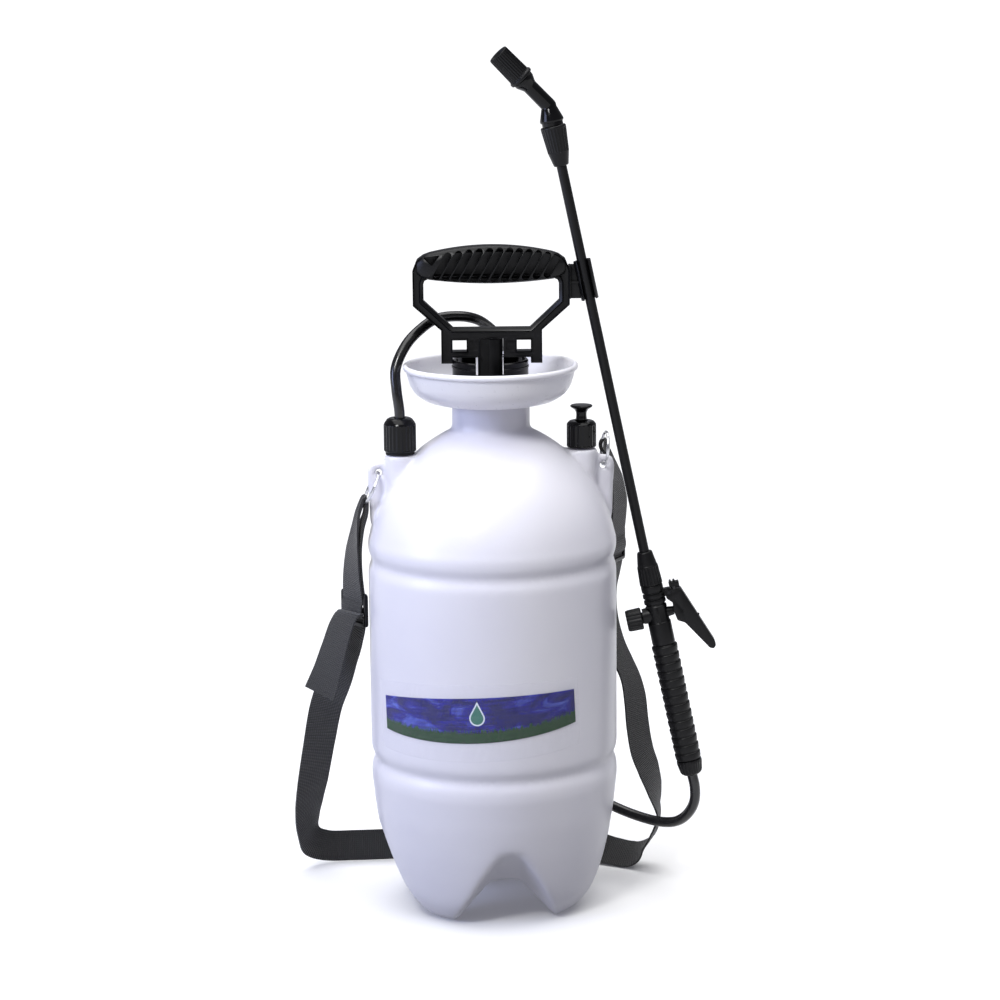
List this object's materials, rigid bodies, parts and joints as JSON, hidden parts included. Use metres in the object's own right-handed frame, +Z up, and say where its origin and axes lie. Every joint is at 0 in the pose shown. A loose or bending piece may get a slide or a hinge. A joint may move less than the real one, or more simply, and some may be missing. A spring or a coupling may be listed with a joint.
{
  "type": "compression sprayer",
  "caption": "Hand-pumped garden sprayer: white footed tank with splash funnel, plunger pump with D-handle, hose, trigger wand in a clip, bent nozzle and a shoulder strap.",
  "frame": {"origin": "on the floor under the middle of the object's box, measured without the hose; the tank's axis is 5.4 mm to -X and 6.2 mm to -Y of it", "axes": "+Z up along the tank's axis, X along the handle's grip towards the wand, -Y towards the label and the open side of the lance clip"},
  "size_m": [0.3274, 0.2107, 0.6509],
  "materials": {
    "tank_plastic": "blow-moulded translucent white polyethylene, soft satin",
    "black_plastic": "injection-moulded black polypropylene, satin",
    "label_film": "clear film with a printed sky and grass band",
    "clear_tube": "clear flexible tube",
    "rubber": "moulded nitrile rubber",
    "steel": "bright drawn steel wire",
    "webbing": "woven black polypropylene webbing",
    "hose_vinyl": "smooth black vinyl hose"
  },
  "bodies": {
    "tank": {"tank": "tank_plastic", "label": "label_film", "funnel": "tank_plastic", "hose_nut": "black_plastic", "outlet_seal": "rubber", "outlet_spigot": "black_plastic", "dip_tube": "clear_tube", "dip_filter": "black_plastic", "valve_cap": "black_plastic", "relief_seal": "rubber", "relief_spring": "steel", "pump_cap": "black_plastic", "pump_gasket": "rubber", "pump_barrel": "black_plastic", "foot_valve": "rubber", "left_ring": "steel", "right_ring": "steel", "left_buckle": "black_plastic", "right_buckle": "black_plastic", "strap_main": "webbing", "strap_tail": "webbing", "strap_left_loop": "webbing", "strap_right_loop": "webbing", "hose_tank_side": "hose_vinyl"},
    "relief": {"relief_knob": "black_plastic"},
    "pump": {"pump_handle": "black_plastic", "pump_rod": "black_plastic", "piston": "black_plastic", "piston_seal": "rubber", "lance_clip": "black_plastic"},
    "wand": {"lance": "black_plastic", "lance_nut": "black_plastic", "valve_body": "black_plastic", "wand_grip": "black_plastic", "grip_end_cap": "black_plastic", "hose_barb": "black_plastic", "trigger_pin": "steel", "elbow_nut": "black_plastic", "elbow_seal": "rubber", "valve_spring": "steel", "hose_wand_side": "hose_vinyl"},
    "side_knob": {"side_knob": "black_plastic"},
    "trigger": {"trigger": "black_plastic"},
    "lock": {"trigger_lock": "black_plastic"},
    "valve": {"valve_pin": "steel"},
    "elbow": {"elbow": "black_plastic"},
    "nozzle": {"nozzle_cap": "black_plastic", "nozzle_core": "black_plastic"}
  },
  "joints": [
    {"name": "pump_stroke", "type": "slide", "parent": "tank", "child": "pump", "axis": [0, 0, 1], "range_m": [0, 0.15], "deforming": ["hose_tank_side", "hose_wand_side"]},
    {"name": "relief_pull", "type": "slide", "parent": "tank", "child": "relief", "axis": [0, 0, 1], "range_m": [0, 0.004], "stiffness_N_per_m": 1500, "deforming": ["relief_spring"]},
    {"name": "wand_unclip", "type": "slide", "parent": "pump", "child": "wand", "axis": [0, -1, 0], "range_m": [0, 0.12], "deforming": ["hose_wand_side"]},
    {"name": "trigger_squeeze", "type": "hinge", "parent": "wand", "child": "trigger", "pos_m": [0.1281, -0.0062, 0.24135], "axis": [0, 1, 0], "range_deg": [0, 13], "stiffness_Nm_per_rad": 0.6},
    {"name": "trigger_lock_slide", "type": "slide", "parent": "trigger", "child": "lock", "axis": [-0.9789, 0, -0.2045], "range_m": [0, 0.003]},
    {"name": "valve_pin_push", "type": "slide", "parent": "wand", "child": "valve", "axis": [-0.9789, 0, -0.2045], "range_m": [0, 0.0042], "deforming": ["valve_spring"]},
    {"name": "side_knob_turn", "type": "hinge", "parent": "wand", "child": "side_knob", "pos_m": [0.10856, -0.0062, 0.22144], "axis": [0.9789, 0, 0.2045], "continuous": true},
    {"name": "elbow_swivel", "type": "hinge", "parent": "wand", "child": "elbow", "pos_m": [0.04229, -0.0062, 0.5959], "axis": [-0.2045, 0, 0.9789], "continuous": true},
    {"name": "nozzle_turn", "type": "hinge", "parent": "elbow", "child": "nozzle", "pos_m": [0.03953, -0.0062, 0.60911], "axis": [-0.6888, -0.1417, 0.7109], "continuous": true}
  ],
  "couplings": [
    {"joint": "valve_pin_push", "follows": "trigger_squeeze", "m_per_rad": 0.0182}
  ]
}
